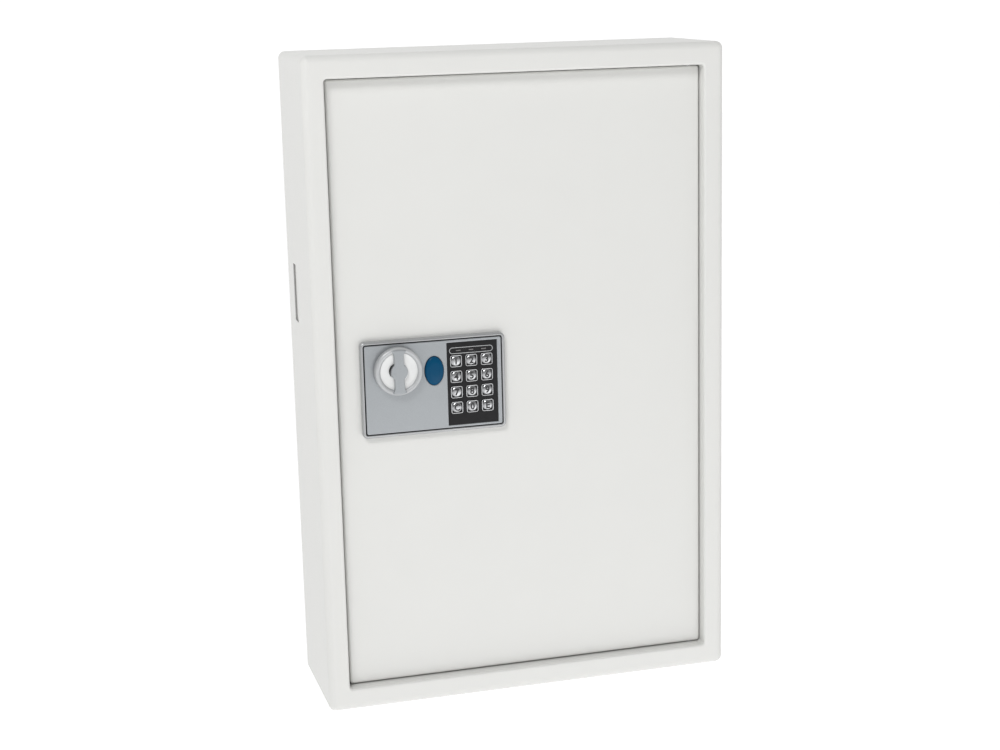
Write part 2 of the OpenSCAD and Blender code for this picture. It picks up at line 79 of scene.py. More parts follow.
def make_world():
    """A room that is white behind the cabinet, paler at the sides and dim behind the camera."""
    bright, side, dim = 1.08, 0.72, 0.27
    world = bpy.data.worlds.new("studio")
    bpy.context.scene.world = world
    world.use_nodes = True
    tree = Nodes(world.node_tree)
    direction = tree.add("ShaderNodeTexCoord").outputs["Generated"]
    depth = tree.add("ShaderNodeVectorMath", operation="DOT_PRODUCT")
    tree.link(direction, depth.inputs[0])
    depth.inputs[1].default_value = (0.27, 0.94, -0.20)
    steps = []
    for start, end, low, high in ((-0.8, 0.1, dim, side), (0.5, 0.9, 0.0, bright - side)):
        step = tree.add("ShaderNodeMapRange", interpolation_type="SMOOTHSTEP", Value=depth.outputs["Value"],
                        From_Min=start, From_Max=end, To_Min=low, To_Max=high)
        steps.append(step.outputs["Result"])
    total = tree.add("ShaderNodeMath", operation="ADD")
    tree.link(steps[0], total.inputs[0])
    tree.link(steps[1], total.inputs[1])
    background = world.node_tree.nodes["Background"]
    tree.link(total.outputs["Value"], background.inputs["Strength"])
    background.inputs["Color"].default_value = (1.0, 1.0, 1.0, 1.0)


def add_area_light(name, at, aim, side, power):
    data = bpy.data.lights.new(name, "AREA")
    data.shape = "SQUARE"
    data.size = side
    data.energy = power
    light = bpy.data.objects.new(name, data)
    light.location = at
    light.rotation_euler = (Vector(aim) - Vector(at)).to_track_quat("-Z", "Y").to_euler()
    light.visible_camera = False
    bpy.context.scene.collection.objects.link(light)


def make_lights():
    add_area_light("key_light", (-1.15, -1.65, 1.75), (0, 0, 0), 0.8, 30)
    add_area_light("low_light", (0.5, -1.3, -0.95), (0, 0, -0.1), 1.2, 6)


def make_floor():
    mesh = bpy.data.meshes.new("floor")
    half = FLOOR_SIDE / 2
    corners = [(x * half, y * half, FLOOR_Z) for x, y in ((-1, -1), (1, -1), (1, 1), (-1, 1))]
    mesh.from_pydata(corners, [], [(0, 1, 2, 3)])
    floor = bpy.data.objects.new("floor", mesh)
    bpy.context.scene.collection.objects.link(floor)
    paper = bpy.data.materials.new("floor_paper")
    paper.use_nodes = True
    shader = paper.node_tree.nodes["Principled BSDF"]
    shader.inputs["Base Color"].default_value = (0.9, 0.9, 0.9, 1.0)
    shader.inputs["Roughness"].default_value = 0.9
    shader.inputs["Emission Color"].default_value = (1.0, 1.0, 1.0, 1.0)
    shader.inputs["Emission Strength"].default_value = 0.5
    mesh.materials.append(paper)


# ---- Node trees and materials ----


class Nodes:
    """Adds nodes to a tree: keyword values are sockets by name, or else properties of the node."""

    def __init__(self, tree):
        self.tree = tree

    def link(self, source, target):
        self.tree.links.new(source, target)

    def add(self, kind, **values):
        node = self.tree.nodes.new(kind)
        for key, value in values.items():
            socket = node.inputs.get(key.replace("_", " ")) if key[0].isupper() else None
            if socket is None:
                setattr(node, key, value)
            elif isinstance(value, bpy.types.NodeSocket):
                self.link(value, socket)
            else:
                socket.default_value = value
        return node


def shade(color, factor):
    return (*(min(1.0, c * factor) for c in color[:3]), 1.0)


def noise(tree, place, size, detail=2.0, stretch=(1.0, 1.0, 1.0)):
    """A noise value from 0 to 1 whose features are about size millimetres wide."""
    moved = tree.add("ShaderNodeMapping", Vector=place, Scale=stretch)
    vector = moved.outputs["Vector"]
    node = tree.add("ShaderNodeTexNoise", Vector=vector, Scale=1.0 / (size * MM), Detail=detail)
    return node.outputs["Fac"]


def spread(tree, value, low, high):
    """Maps the middle of a noise value onto low to high."""
    node = tree.add("ShaderNodeMapRange", Value=value, From_Min=0.3, From_Max=0.7, To_Min=low, To_Max=high)
    return node.outputs["Result"]


def blend_colors(tree, value, first, second):
    mix = tree.add("ShaderNodeMix", data_type="RGBA")
    tree.link(value, mix.inputs["Factor"])
    for socket, color in (("A", first), ("B", second)):
        target = next(s for s in mix.inputs if s.name == socket and s.type == "RGBA")
        if isinstance(color, bpy.types.NodeSocket):
            tree.link(color, target)
        else:
            target.default_value = (*color[:3], 1.0)
    return next(s for s in mix.outputs if s.type == "RGBA")


def surface(name, color, rough, metal=0.0, tone=0.03, tone_size=30, rough_tone=0.05, peel=0.03,
            peel_size=1.5, stretch=(1.0, 1.0, 1.0), coat=0.0, coat_rough=0.05, specular=0.5, pattern=None):
    """A Principled material with uneven colour and gloss, and a fine relief peel millimetres deep."""
    material = bpy.data.materials.new(name)
    material.use_nodes = True
    tree = Nodes(material.node_tree)
    shader = material.node_tree.nodes["Principled BSDF"]
    place = tree.add("ShaderNodeTexCoord").outputs["Object"]
    cloud = noise(tree, place, tone_size, 3.0, stretch)
    mixed = blend_colors(tree, cloud, shade(color, 1 - tone), shade(color, 1 + tone))
    if pattern:
        mixed = pattern(tree, place, mixed)
    tree.link(mixed, shader.inputs["Base Color"])
    fine = noise(tree, place, peel_size, 2.0, stretch)
    tree.link(spread(tree, fine, rough - rough_tone, rough + rough_tone), shader.inputs["Roughness"])
    bump = tree.add("ShaderNodeBump", Height=fine, Strength=0.6, Distance=peel * MM)
    tree.link(bump.outputs["Normal"], shader.inputs["Normal"])
    shader.inputs["Metallic"].default_value = metal
    shader.inputs["Specular IOR Level"].default_value = specular
    shader.inputs["Coat Weight"].default_value = coat
    shader.inputs["Coat Roughness"].default_value = coat_rough
    return material


def flakes(strength, size):
    """Pattern of fine metal flakes, each a little lighter or darker."""

    def pattern(tree, place, color):
        cells = tree.add("ShaderNodeTexVoronoi", Vector=place, Scale=1.0 / (size * MM))
        value = tree.add("ShaderNodeSeparateColor", Color=cells.outputs["Color"]).outputs["Red"]
        factor = tree.add("ShaderNodeMapRange", Value=value, To_Min=0.0, To_Max=strength).outputs["Result"]
        return blend_colors(tree, factor, color, (0.9, 0.92, 0.95))

    return pattern


def bands(steps):
    """Pattern of plain bands up the Z axis: steps is a list of (start in mm, color)."""

    def pattern(tree, place, color):
        along = tree.add("ShaderNodeSeparateXYZ", Vector=place).outputs["Z"]
        for start, band in steps:
            over = tree.add("ShaderNodeMath", operation="GREATER_THAN")
            tree.link(along, over.inputs[0])
            over.inputs[1].default_value = start * MM
            color = blend_colors(tree, over.outputs["Value"], color, band)
        return color

    return pattern


def board_tracks(tree, place, color):
    """Pattern of lighter copper tracks under a green mask."""
    waves = tree.add("ShaderNodeTexVoronoi", Vector=place, Scale=260.0, feature="DISTANCE_TO_EDGE")
    line = tree.add("ShaderNodeMath", operation="LESS_THAN")
    tree.link(waves.outputs["Distance"], line.inputs[0])
    line.inputs[1].default_value = 0.07
    return blend_colors(tree, line.outputs["Value"], color, (0.10, 0.36, 0.14))


def make_materials():
    white = (0.725, 0.725, 0.705)
    return {
        "powder": surface("powder_coat", white, 0.42, tone=0.012, tone_size=45, peel=0.02, peel_size=1.4),
        # Dark grey for the return slot's cut faces: painted shade in the slot.
        "slot_edge_shade": surface("painted_shade_on_slot_edges", (0.33, 0.33, 0.325), 0.5, tone=0.15, tone_size=2,
                            peel=0.05),
        "zinc": surface("zinc_plate", (0.60, 0.61, 0.63), 0.34, metal=1.0, tone=0.08, tone_size=6, peel=0.01,
                        peel_size=0.9, stretch=(1.0, 1.0, 0.12), rough_tone=0.08),
        "steel": surface("turned_steel", (0.66, 0.66, 0.68), 0.22, metal=1.0, tone=0.06, tone_size=4,
                         peel=0.006, peel_size=0.4, stretch=(0.1, 1.0, 1.0)),
        "brass": surface("brass", (0.72, 0.56, 0.28), 0.28, metal=1.0, tone=0.08, tone_size=3, peel=0.006,
                         peel_size=0.4),
        "rubber": surface("black_rubber", (0.022, 0.022, 0.023), 0.75, tone=0.2, tone_size=2, peel=0.03,
                          peel_size=0.5),
        "silver": surface("silver_paint", (0.312, 0.330, 0.345), 0.36, metal=0.45, tone=0.02, tone_size=12,
                          peel=0.004, peel_size=0.35, pattern=flakes(0.08, 0.22), coat=0.10,
                          coat_rough=0.25),
        "bezel": surface("bezel_silver_paint", (0.37, 0.378, 0.382), 0.32, metal=0.45, tone=0.02,
                         tone_size=12, peel=0.004, peel_size=0.35, pattern=flakes(0.08, 0.22), coat=0.15,
                         coat_rough=0.2),
        # A lighter copy of the fascia's silver paint on the knob's rim: painted light.
        "rim": surface("knob_rim_paint_with_painted_light", (0.45, 0.46, 0.468), 0.36, metal=0.2, tone=0.02, tone_size=12,
                       peel=0.004, peel_size=0.35, pattern=flakes(0.10, 0.22), coat=0.15, coat_rough=0.2),
        "dish": surface("bright_silver_dish", (0.74, 0.745, 0.74), 0.42, metal=0.25, tone=0.03, tone_size=5,
                        peel=0.01, peel_size=0.5, pattern=flakes(0.12, 0.22)),
        # Black plastic of the key caps; in the bezel groove and beside the knob's hub this black is painted
        # shade.
        "groove": surface("black_plastic_and_painted_groove_shade", (0.020, 0.0205, 0.022), 0.55, tone=0.2, tone_size=3,
                          peel=0.02, peel_size=0.4, specular=0.2),
        "black": surface("black_fine_grain_plastic", (0.0125, 0.0127, 0.0138), 0.42, tone=0.25, tone_size=4,
                         peel=0.02, peel_size=0.35, rough_tone=0.08, specular=0.18),
        "grain": surface("black_coarse_grain_plastic", (0.03, 0.03, 0.032), 0.55, tone=0.2, tone_size=3,
                         peel=0.06, peel_size=0.8),
        "chrome": surface("key_chrome", (0.47, 0.475, 0.485), 0.16, metal=1.0, tone=0.05, tone_size=3,
                          peel=0.004, peel_size=0.6, rough_tone=0.04),
        "satin": surface("key_disc_satin", (0.41, 0.415, 0.425), 0.24, metal=1.0, tone=0.05, tone_size=2,
                         peel=0.006, peel_size=0.5),
        "legend": surface("legend_ink", (0.02, 0.02, 0.022), 0.5, tone=0.2, tone_size=1, peel=0.01,
                          peel_size=0.3),
        "light_ink": surface("light_ink", (0.46, 0.47, 0.48), 0.4, tone=0.05, tone_size=2, peel=0.01,
                             peel_size=0.3),
        "blue": surface("blue_gloss_plastic", (0.0030, 0.062, 0.140), 0.17, tone=0.10, tone_size=7,
                        peel=0.01, peel_size=2.5, rough_tone=0.03, specular=0.1),
        "lens": surface("tinted_lens", (0.13, 0.125, 0.125), 0.2, tone=0.1, tone_size=2, peel=0.004,
                        peel_size=0.6, coat=0.5),
        "strip": surface("number_strip_paper", (0.78, 0.78, 0.75), 0.6, tone=0.02, tone_size=8, peel=0.01,
                         peel_size=0.4),
        "cable": surface("grey_flat_cable", (0.36, 0.37, 0.39), 0.45, tone=0.12, tone_size=1.3, peel=0.04,
                         peel_size=1.2, stretch=(1.0, 0.05, 1.0)),
        "board": surface("circuit_board", (0.02, 0.15, 0.05), 0.3, tone=0.1, tone_size=5, peel=0.01,
                         peel_size=0.6, pattern=board_tracks, coat=0.3),
        "coil": surface("taped_coil", (0.30, 0.10, 0.03), 0.45, tone=0.3, tone_size=0.5, peel=0.1,
                        peel_size=0.4, stretch=(0.05, 1.0, 0.05)),
    }


# ---- Mesh tools ----


def node_box(name):
    """Lowest and highest corners of a CAD node, in millimetres."""
    low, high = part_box(name)
    return [v / MM for v in low], [v / MM for v in high]


def middle(low, high):
    return [(a + b) / 2 for a, b in zip(low, high)]


def round_rect(w, h, r, cx=0.0, cz=0.0, steps=8):
    """Points (x, z) of a rectangle with round corners, anticlockwise as seen from the front."""
    r = max(r, 0.04)
    points = []
    for corner, (sx, sz) in enumerate(((1, 1), (-1, 1), (-1, -1), (1, -1))):
        for i in range(steps + 1):
            a = math.radians(90 * (corner + i / steps))
            points.append((cx + sx * (w / 2 - r) + r * math.cos(a), cz + sz * (h / 2 - r) + r * math.sin(a)))
    return points


def oval(w, h, cx=0.0, cz=0.0, steps=64):
    turns = (2 * math.pi * i / steps for i in range(steps))
    return [(cx + w / 2 * math.cos(a), cz + h / 2 * math.sin(a)) for a in turns]


def at_depth(points, y):
    return [(x, y, z) for x, z in points]


def arc(radius, steps=5):
    """Pairs (across, along) of a quarter round that starts along the second way and ends across it."""
    turns = (math.radians(90 * i / steps) for i in range(steps + 1))
    return [(radius * (1 - math.cos(a)), radius * (1 - math.sin(a))) for a in turns]


def to_mesh(bm):
    """Closes a bmesh in millimetres into a mesh in metres."""
    bmesh.ops.recalc_face_normals(bm, faces=bm.faces)
    bmesh.ops.scale(bm, vec=(MM, MM, MM), verts=bm.verts)
    mesh = bpy.data.meshes.new("mesh")
    bm.to_mesh(mesh)
    bm.free()
    return mesh


def loft(rings, closed=False):
    """Skins rings of points that all have the same number of points, and caps the ends unless closed."""
    bm = bmesh.new()
    rows = [[bm.verts.new(p) for p in r] for r in rings]
    pairs = list(zip(rows, rows[1:])) + ([(rows[-1], rows[0])] if closed else [])
    for a, b in pairs:
        for i in range(len(a)):
            j = (i + 1) % len(a)
            bm.faces.new((a[i], a[j], b[j], b[i]))
    if not closed:
        bm.faces.new(rows[0])
        bm.faces.new(rows[-1])
    return to_mesh(bm)


def lathe(profile, cx=0.0, cz=0.0, steps=64, stretch=(1.0, 1.0)):
    """Turns a profile of (radius, y) points about the Y line through (cx, cz); stretch makes ovals."""
    bm = bmesh.new()
    rows = []
    for radius, y in profile:
        turns = [2 * math.pi * i / steps for i in range(steps)] if radius > 1e-6 else [0.0]
        rows.append([
            bm.verts.new((cx + radius * stretch[0] * math.cos(a), y, cz + radius * stretch[1] * math.sin(a)))
            for a in turns
        ])
    for a, b in zip(rows, rows[1:]):
        for i in range(steps):
            j = (i + 1) % steps
            corners = [a[i % len(a)], a[j % len(a)], b[j % len(b)], b[i % len(b)]]
            corners = list(dict.fromkeys(corners))
            if len(corners) > 2:
                bm.faces.new(corners)
    return to_mesh(bm)


def evaluated(obj):
    """The mesh of obj with its modifiers applied. Removes obj."""
    bpy.context.scene.collection.objects.link(obj)
    depsgraph = bpy.context.evaluated_depsgraph_get()
    mesh = bpy.data.meshes.new_from_object(obj.evaluated_get(depsgraph))
    bpy.data.objects.remove(obj)
    return mesh


def plate(outlines, y_back, thickness, bevel=0.2, steps=2):
    """A flat plate with soft edges. The first outline is the outside and the others are holes."""
    curve = bpy.data.curves.new("plate", "CURVE")
    curve.dimensions = "2D"
    curve.fill_mode = "BOTH"
    curve.extrude = thickness / 2 - bevel
    curve.bevel_depth = bevel
    curve.bevel_resolution = steps
    curve.offset = -bevel
    for k, outline in enumerate(outlines):
        points = list(outline)[:: 1 if k else -1]
        spline = curve.splines.new("POLY")
        spline.points.add(len(points) - 1)
        for point, (x, z) in zip(spline.points, points):
            point.co = (x, z, 0.0, 1.0)
        spline.use_cyclic_u = True
    mesh = evaluated(bpy.data.objects.new("plate", curve))
    upright = Matrix.Rotation(math.pi / 2, 4, "X")
    mesh.transform(Matrix.Scale(MM, 4) @ Matrix.Translation((0, y_back - thickness / 2, 0)) @ upright)
    bm = bmesh.new()
    bm.from_mesh(mesh)
    bmesh.ops.remove_doubles(bm, verts=bm.verts, dist=1e-6)
    bm.to_mesh(mesh)
    bm.free()
    return mesh


def block(low, high, bevel=0.3, steps=2):
    """A box with round edges."""
    bm = bmesh.new()
    bmesh.ops.create_cube(bm, size=1.0)
    bmesh.ops.scale(bm, vec=[b - a for a, b in zip(low, high)], verts=bm.verts)
    bmesh.ops.translate(bm, vec=middle(low, high), verts=bm.verts)
    bmesh.ops.bevel(bm, geom=bm.edges, offset=bevel, segments=steps, affect="EDGES", profile=0.5)
    return to_mesh(bm)


def boolean(mesh, others):
    """Cuts other meshes from a mesh. Cut faces keep the other's material number."""
    target = bpy.data.objects.new("target", mesh)
    helpers = []
    for other in others:
        helper = bpy.data.objects.new("helper", other)
        bpy.context.scene.collection.objects.link(helper)
        modifier = target.modifiers.new("boolean", "BOOLEAN")
        modifier.operation = "DIFFERENCE"
        modifier.solver = "EXACT"
        modifier.object = helper
        helpers.append(helper)
    result = evaluated(target)
    for helper in helpers:
        bpy.data.objects.remove(helper)
    return result


def cut_second_material(body, cutter):
    """Cuts one mesh from another. The cut faces take the second of the piece's materials."""
    for mesh in (cutter, body):
        for _ in range(2):
            mesh.materials.append(None)
    cutter.polygons.foreach_set("material_index", [1] * len(cutter.polygons))
    return boolean(body, [cutter])


def moved(mesh, x=0.0, y=0.0, z=0.0):
    """A copy of a mesh, shifted by millimetres."""
    copy = mesh.copy()
    copy.transform(Matrix.Translation(Vector((x, y, z)) * MM))
    return copy


def text(words, height, thickness, bold=0.0):
    """Flat letters or digits of the built-in face, centred on the Y axis, with their back at y = 0."""
    curve = bpy.data.curves.new("text", "FONT")
    curve.body = words
    curve.align_x = "CENTER"
    curve.align_y = "CENTER"
    curve.size = height / 0.73
    curve.extrude = thickness / 2
    curve.offset = bold
    curve.resolution_u = 3
    mesh = evaluated(bpy.data.objects.new("text", curve))
    low = min((v.co.y for v in mesh.vertices), default=0.0)
    high = max((v.co.y for v in mesh.vertices), default=0.0)
    mesh.transform(
        Matrix.Scale(MM, 4)
        @ Matrix.Translation((0, -thickness / 2, 0))
        @ Matrix.Rotation(math.pi / 2, 4, "X")
        @ Matrix.Translation((0, -(low + high) / 2, 0))
    )
    return mesh


def piece(name, parts, body, replaced=()):
    """Joins parts, each a mesh and its material or materials, into one object that rides on a body."""
    bm = bmesh.new()
    used = []
    for mesh, materials in parts:
        own = materials if isinstance(materials, (list, tuple)) else [materials]
        used += [m for m in own if m not in used]
        first = len(bm.faces)
        bm.from_mesh(mesh)
        bm.faces.ensure_lookup_table()
        for face in bm.faces[first:]:
            face.material_index = used.index(own[min(face.material_index, len(own) - 1)])
    mesh = bpy.data.meshes.new(name)
    bm.to_mesh(mesh)
    bm.free()
    for material in used:
        mesh.materials.append(material)
    mesh.polygons.foreach_set("use_smooth", [True] * len(mesh.polygons))
    mesh.set_sharp_from_angle(angle=math.radians(SHARP_ANGLE))
    obj = bpy.data.objects.new(name, mesh)
    bpy.context.scene.collection.objects.link(obj)
    normals = obj.modifiers.new("flat_faces_stay_flat", "WEIGHTED_NORMAL")
    normals.keep_sharp = True
    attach(obj, body)
    if replaced:
        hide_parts(*replaced)
    return obj


def dress(node, material, bevel=0.25):
    """Gives a CAD node its material and soft edges, and leaves its mesh as it is."""
    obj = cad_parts[node]
    obj.data.materials.clear()
    obj.data.materials.append(material)
    if bevel:
        weld = obj.modifiers.new("weld", "WELD")
        weld.merge_threshold = 1e-6
        soft = obj.modifiers.new("soft_edges", "BEVEL")
        soft.width = bevel * MM
        soft.segments = 2
        soft.limit_method = "ANGLE"
        soft.angle_limit = math.radians(40)
        soft.harden_normals = False
        normals = obj.modifiers.new("flat_faces_stay_flat", "WEIGHTED_NORMAL")
        normals.keep_sharp = True


# ---- Cabinet ----

SHEET = 1.2
EDGE_R = 6.0
RIM_SIDE = 18.0
RIM_END = 19.0
OPENING_R = 2.5
LIP_R = 2.0
RETURN_DEPTH = 17.0


def make_shell(mat):
    """The wrapped body: its skin runs out over the rim, round the lip, along the return and back inside."""
    low, high = node_box("cabinet_shell")
    w, h, front, back = high[0] - low[0], high[2] - low[2], low[1], high[1]
    open_w, open_h = w - 2 * RIM_SIDE, h - 2 * RIM_END

    def outside(inset, r, y):
        return at_depth(round_rect(w - 2 * inset, h - 2 * inset, r), y)

    def round_opening(grow, y):
        return at_depth(round_rect(open_w + 2 * grow, open_h + 2 * grow, OPENING_R + grow), y)

    rings = [outside(0, EDGE_R, back)]
    rings += [outside(across, EDGE_R - across, front + along) for across, along in arc(EDGE_R, 7)]
    rings += [round_opening(along, front + across) for across, along in arc(LIP_R)]
    return_end = front + RETURN_DEPTH
    rings += [round_opening(0, return_end - 0.2), round_opening(0.2, return_end)]
    rings += [round_opening(SHEET - 0.2, return_end), round_opening(SHEET, return_end - 0.2)]
    inner_lip = LIP_R - SHEET
    rings += [round_opening(SHEET + across, front + SHEET + along) for across, along in arc(inner_lip, 3)]
    inner_r = EDGE_R - SHEET
    inner = []
    for across, along in arc(inner_r, 5):
        inner.append(outside(SHEET + across, inner_r - across, front + SHEET + along))
    rings += inner[::-1]
    rings.append(outside(SHEET, inner_r, back))
    body = loft(rings, closed=True)
    # The slot's cut faces take the dark grey, painted shade in the slot.
    return piece("cabinet_body", [(cut_slot(body, w), [mat["powder"], mat["slot_edge_shade"]])], "cabinet",
                 ["cabinet_shell"])


def slot_ranges():
    """The return slot's range of y and z, from the flap that covers it from behind."""
    lap = 2.0
    roll = 2.0
    low, high = node_box("return_flap")
    return (low[1] + 2.4 + 4.5, high[1] - lap), (low[2] + roll, high[2] - roll)


def cut_slot(body, w):
    (y0, y1), (z0, z1) = slot_ranges()
    outline = round_rect(y1 - y0, z1 - z0, 1.2, (y0 + y1) / 2, (z0 + z1) / 2, 5)
    reach = 3.0
    rings = [[(x, y, z) for y, z in outline] for x in (-w / 2 - reach, -w / 2 + reach)]
    cutter = loft(rings)
    return cut_second_material(body, cutter)


def make_flap(mat):
    """The sprung flap behind the return slot: a plate with a rolled edge."""
    low, high = node_box("return_flap")
    roll_r = 2.4
    axis_x = high[0] - roll_r
    axis_y = low[1] + roll_r
    sheet = block([low[0], axis_y, low[2]], [low[0] + SHEET, high[1], high[2]], 0.3)
    bm = bmesh.new()
    rows = []
    for z in (low[2], high[2]):
        for radius in (1.3, roll_r):
            turns = (2 * math.pi * i / 24 for i in range(24))
            spots = [(axis_x + radius * math.cos(a), axis_y + radius * math.sin(a), z) for a in turns]
            rows.append([bm.verts.new(spot) for spot in spots])
    for a, b in ((0, 1), (1, 3), (3, 2), (2, 0)):
        for i in range(24):
            j = (i + 1) % 24
            bm.faces.new((rows[a][i], rows[a][j], rows[b][j], rows[b][i]))
    roll = to_mesh(bm)
    piece("return_flap_plate", [(sheet, mat["powder"]), (roll, mat["powder"])], "return_flap",
          ["return_flap"])


# ---- Hook rails ----

HOOKS = 10
RAILS = 10
RAIL_SHEET = 1.2
HOOK_W = 5.0
HOOK_PITCH = 31.0
UPRIGHT_X = 150.0


def rail_line(i):
    """Height of rail i's middle, the y of its front face, and its box."""
    low, high = node_box(f"hook_rail_{i + 1}")
    upright_front = node_box("rail_uprights")[0][1]
    return (low[2] + high[2]) / 2, upright_front - RAIL_SHEET, low, high


def hook_xs():
    return [(k - (HOOKS - 1) / 2) * HOOK_PITCH for k in range(HOOKS)]


def hook_mesh(front, z):
    """One hook: a tab that leaves the strip level and curls up to a round tip."""
    bm = bmesh.new()
    half = HOOK_W / 2
    half_thick = 0.6
    root, bend, tip = Vector((0.4, -4.7)), Vector((-9.1, -5.3)), Vector((-14.8, 3.9))
    taper = 0.8
    steps = 12
    rows = []
    for i in range(steps + 1):
        t = i / steps
        spot = root * (1 - t) ** 2 + bend * 2 * t * (1 - t) + tip * t * t
        along = ((bend - root) * (1 - t) + (tip - bend) * t).normalized()
        wide = half if t < taper else half * math.sqrt(max(0.12, 1 - ((t - taper) / 0.21) ** 2))
        section = round_rect(2 * wide, 2 * half_thick, 0.35, steps=2)
        rows.append([
            bm.verts.new((x, front + spot[0] + along[1] * s, z + spot[1] - along[0] * s)) for x, s in section
        ])
    for a, b in zip(rows, rows[1:]):
        for i in range(len(a)):
            j = (i + 1) % len(a)
            bm.faces.new((a[i], a[j], b[j], b[i]))
    bm.faces.new(rows[0])
    bm.faces.new(rows[-1])
    return to_mesh(bm)


def make_rails(mat):
    for i in range(RAILS):
        z, front, low, high = rail_line(i)
        holes = [oval(4.2, 4.2, x, z, 16) for x in (-UPRIGHT_X, UPRIGHT_X)]
        strip = plate([round_rect(high[0] - low[0], high[2] - low[2], 1.5, 0, z, 4), *holes],
                      front + RAIL_SHEET, RAIL_SHEET, 0.25)
        hook = hook_mesh(front, z)
        parts = [(strip, mat["powder"])] + [(moved(hook, x), mat["powder"]) for x in hook_xs()]
        piece(f"key_rail_{i + 1}", parts, "cabinet", [f"hook_rail_{i + 1}"])


def make_number_strips(mat):
    """Paper strips over the hooks, numbered in reading order."""
    low, high = node_box("number_strips")
    glyphs = {c: text(c, 3.4, 0.06, 0.02) for c in "0123456789"}
    spacing = 2.5
    parts = []
    for i in range(RAILS):
        z = rail_line(i)[0] + 4.2
        strip = plate([round_rect(high[0] - low[0], 6.4, 0.6, 0, z, 3)], high[1], high[1] - low[1], 0.1, 1)
        parts.append((strip, mat["strip"]))
        for k, x in enumerate(hook_xs()):
            digits = str(i * HOOKS + k + 1)
            for n, digit in enumerate(digits):
                shift = (n - (len(digits) - 1) / 2) * spacing
                parts.append((moved(glyphs[digit], x + shift, low[1] + 0.01, z), mat["legend"]))
    piece("numbered_strips", parts, "cabinet", ["number_strips"])


def screw_mesh(r, height, shank_r, shank):
    """A pan-head screw with a cross recess, its head's seat at y = 0 and its head towards -Y."""
    profile = [(0.0, -height), (r * 0.45, -height * 0.98), (r * 0.8, -height * 0.78),
               (r * 0.97, -height * 0.35), (r, 0.0), (shank_r, 0.0), (shank_r, shank - 0.4),
               (shank_r - 0.4, shank), (0.0, shank)]
    head = lathe(profile, steps=28)
    arm = r * 0.55
    slots = ((arm, 0.42), (0.42, arm))
    cross = [block([-a, -height - 1, -b], [a, -height + 1.1, b], 0.1, 1) for a, b in slots]
    return boolean(head, cross)


def make_rail_screws(mat):
    screw = screw_mesh(3.2, 2.2, 1.85, 5.0)
    seat = rail_line(0)[1]
    spots = [(x, rail_line(i)[0]) for i in range(RAILS) for x in (-UPRIGHT_X, UPRIGHT_X)]
    parts = [(moved(screw, x, seat, z), mat["zinc"]) for x, z in spots]
    piece("rail_screw_set", parts, "cabinet", ["rail_screws"])


# ---- Door ----

DOOR_SHEET = 1.5
DOOR_EDGE_R = 2.0


def door_face():
    return node_box("door_pan")[0][1]


def make_door(mat):
    """The door: a face with four folded flanges, and holes in the left flange for the bolts."""
    low, high = node_box("door_pan")
    w, h, front, back = high[0] - low[0], high[2] - low[2], low[1], high[1]
    cx, _, cz = middle(low, high)

    def ring(inset, r, y):
        return at_depth(round_rect(w - 2 * inset, h - 2 * inset, r, cx, cz), y)

    rings = [ring(DOOR_SHEET, 1.0, front + DOOR_SHEET), ring(DOOR_SHEET, 1.0, back - 0.2)]
    rings += [ring(DOOR_SHEET - 0.2, 1.2, back)]
    rings += [ring(0.2, OPENING_R - 0.2, back), ring(0, OPENING_R, back - 0.2)]
    rings += [ring(a, OPENING_R - a, front + b) for a, b in arc(DOOR_EDGE_R, 6)]
    skin = loft(rings)
    bolt_low, bolt_high = node_box("bolts")
    bolt_y = (bolt_low[1] + bolt_high[1]) / 2
    bolt_r = (bolt_high[1] - bolt_low[1]) / 2
    holes = []
    for z in (bolt_low[2] + bolt_r, bolt_high[2] - bolt_r):
        outline = oval(2 * bolt_r + 0.8, 2 * bolt_r + 0.8, bolt_y, z, 40)
        holes.append(loft([[(x, y, zz) for y, zz in outline] for x in (low[0] - 2, low[0] + 3)]))
    piece("door_leaf", [(boolean(skin, holes), mat["powder"])], "door", ["door_pan"])


def make_bolts(mat):
    """Two round bolts with turned, chamfered tips."""
    low, high = node_box("bolts")
    r = (high[1] - low[1]) / 2
    y = (low[1] + high[1]) / 2
    bar_low, bar_high = node_box("bolt_bar")
    profile = [(0.0, low[0]), (r - 1.0, low[0]), (r - 0.3, low[0] + 0.5), (r, low[0] + 1.2),
               (r, high[0] - 0.3), (r - 0.3, high[0]), (0.0, high[0])]
    bolt = lathe(profile, steps=48)
    bolt.transform(Matrix.Rotation(-math.pi / 2, 4, "Z"))
    slot = block([bar_low[0], bar_low[1], -r - 1], [high[0] + 1, bar_high[1], r + 1], 0.01, 1)
    parts = []
    for z in (low[2] + r, high[2] - r):
        parts.append((boolean(moved(bolt, 0, y, z), [moved(slot, 0, 0, z)]), mat["steel"]))
    piece("bolt_pair", parts, "bolt_set", ["bolts"])


# ---- Lock front ----

BASE_T = 3.4
PANEL_T = 5.2
BEZEL_EDGE = 2.4
GROOVE = 1.0
PANEL_R = 4.4
KEY_FACE = 4.7


def panel_frame():
    """Centre and size of the lock's outer frame."""
    low, high = node_box("lock_bezel")
    cx, _, cz = middle(low, high)
    return cx, cz, high[0] - low[0], high[2] - low[2]


def knob_axis():
    low, high = node_box("knob")
    return (low[0] + high[0]) / 2, (low[2] + high[2]) / 2


def cap_axis():
    low, high = node_box("override_cap")
    return (low[0] + high[0]) / 2, (low[2] + high[2]) / 2, high[0] - low[0], high[2] - low[2]


def insert_box():
    low, high = node_box("keypad_plate")
    return (low[0] + high[0]) / 2, (low[2] + high[2]) / 2, high[0] - low[0], high[2] - low[2]


